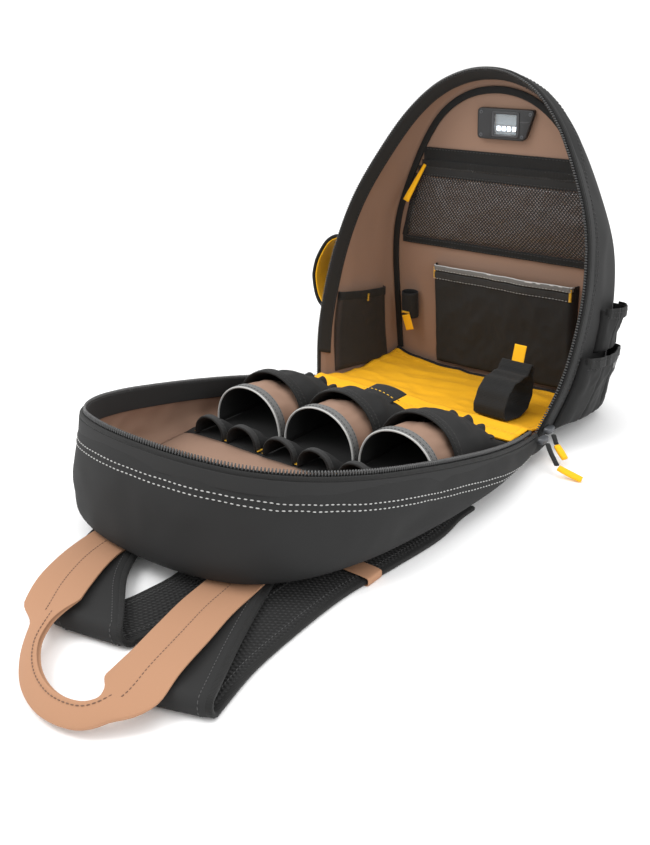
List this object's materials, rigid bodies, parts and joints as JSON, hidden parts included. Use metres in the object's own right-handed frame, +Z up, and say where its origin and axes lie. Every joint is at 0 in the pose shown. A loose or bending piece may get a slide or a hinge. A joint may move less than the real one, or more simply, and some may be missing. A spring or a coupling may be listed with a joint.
{
  "type": "tool backpack",
  "caption": "Black tool backpack opened out flat at its zip: harness half on its back with arched tool pockets, front half standing with net pocket and work light.",
  "frame": {"origin": "under the middle of the whole open bag's bounding box, on the surface it rests on", "axes": "+Z up; +Y from the haul handle towards the standing front half; +X across the bag, to the right when looking along +Y at the lining"},
  "size_m": [0.4602, 0.8982, 0.4228],
  "materials": {
    "black_cloth": "matt coated polyester",
    "tan_lining": "woven lining",
    "tan_webbing": "ribbed webbing",
    "yellow_cloth": "bright coated cloth",
    "grey_cloth": "plain woven tab",
    "net": "knitted mesh",
    "zip_tape": "woven tape",
    "black_plastic": "fine grained",
    "lens": "clear window",
    "dark_metal": "dark lacquer"
  },
  "bodies": {
    "root": {"front_shell": "black_cloth", "front_zip_tape": "zip_tape", "front_cover": "black_cloth", "front_pocket": "black_cloth", "floor_binding": "black_cloth", "light_housing": "black_plastic", "light_lens": "lens", "net_zip_band": "zip_tape", "net_hem": "black_cloth", "net_panel": "net", "net_zip_pull": "yellow_cloth", "document_pocket": "black_cloth", "lining_binding": "black_cloth", "pen_loop": "black_cloth", "pen_loop_tab": "yellow_cloth", "holding_strap": "black_cloth", "holding_strap_tab": "yellow_cloth", "side_net_pocket": "net", "tool_pocket_lower": "black_cloth", "tool_pocket_upper": "black_cloth", "tool_pocket_label": "grey_cloth", "left_sleeve": "black_cloth", "left_sleeve_lining": "yellow_cloth", "rear_shell": "black_cloth", "rear_zip_tape": "zip_tape", "floor_panel": "yellow_cloth", "pocket_board": "tan_lining", "tan_pocket_1": "tan_lining", "black_pocket_1": "black_cloth", "small_pocket_1": "black_cloth", "small_pocket_2": "black_cloth", "tan_pocket_2": "tan_lining", "black_pocket_2": "black_cloth", "small_pocket_3": "black_cloth", "small_pocket_4": "black_cloth", "tan_pocket_3": "tan_lining", "black_pocket_3": "black_cloth", "small_pocket_5": "black_cloth", "small_pocket_6": "black_cloth", "elastic_loops_left": "black_cloth", "elastic_loops_right": "black_cloth", "hinge_tab": "black_cloth", "zip_slider_1": "dark_metal", "zip_pull_1": "zip_tape", "zip_grip_1": "yellow_cloth", "zip_slider_2": "dark_metal", "zip_pull_2": "zip_tape", "zip_grip_2": "yellow_cloth", "shoulder_strap_left": "black_cloth", "strap_adjuster_left": "black_plastic", "strap_webbing_left": "black_cloth", "shoulder_strap_right": "black_cloth", "strap_adjuster_right": "black_plastic", "strap_webbing_right": "black_cloth", "strap_patch": "tan_webbing", "haul_handle": "tan_webbing", "back_pad": "net", "lumbar_pad": "net"}
  },
  "joints": []
}
